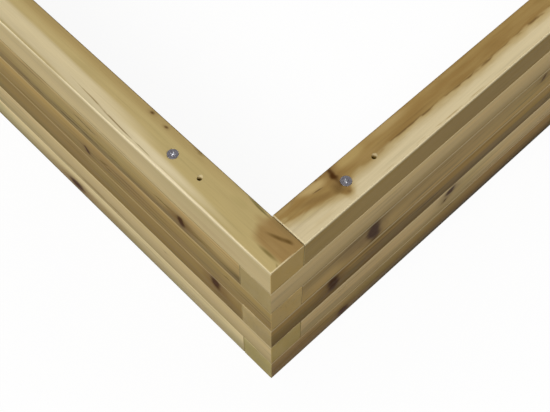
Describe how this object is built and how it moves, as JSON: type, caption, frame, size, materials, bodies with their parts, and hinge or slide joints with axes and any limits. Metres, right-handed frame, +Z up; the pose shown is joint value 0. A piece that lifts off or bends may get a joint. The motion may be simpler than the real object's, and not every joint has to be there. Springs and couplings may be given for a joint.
{
  "type": "raised garden bed",
  "caption": "Rectangular raised garden bed of square planed timbers stacked in courses, alternately butt-jointed at the corners and screwed down through drilled holes.",
  "frame": {"origin": "on the ground, at the middle of the bed's footprint", "axes": "+X along the longer walls (front and back), +Y from the front wall to the back wall, +Z up"},
  "size_m": [1.2, 0.8, 0.27],
  "materials": {
    "pine": "planed pressure-treated softwood, matt, greenish tan",
    "screw_steel": "dull zinc-plated",
    "dowel_wood": "plain beech, unfinished"
  },
  "bodies": {
    "root": {"course_1_front_beam": "pine", "course_1_back_beam": "pine", "course_1_left_beam": "pine", "course_1_right_beam": "pine", "course_2_front_beam": "pine", "course_2_back_beam": "pine", "course_2_left_beam": "pine", "course_2_right_beam": "pine", "course_3_front_beam": "pine", "course_3_back_beam": "pine", "course_3_left_beam": "pine", "course_3_right_beam": "pine", "course_4_front_beam": "pine", "course_4_back_beam": "pine", "course_4_left_beam": "pine", "course_4_right_beam": "pine", "course_5_front_beam": "pine", "course_5_back_beam": "pine", "course_5_left_beam": "pine", "course_5_right_beam": "pine", "course_6_front_beam": "pine", "course_6_back_beam": "pine", "course_6_left_beam": "pine", "course_6_right_beam": "pine", "course_2_screws": "screw_steel", "course_3_screws": "screw_steel", "course_4_screws": "screw_steel", "course_5_screws": "screw_steel", "course_6_screws": "screw_steel", "course_2_corner_dowels": "dowel_wood", "course_3_corner_dowels": "dowel_wood", "course_4_corner_dowels": "dowel_wood", "course_5_corner_dowels": "dowel_wood", "course_6_corner_dowels": "dowel_wood"}
  },
  "joints": []
}
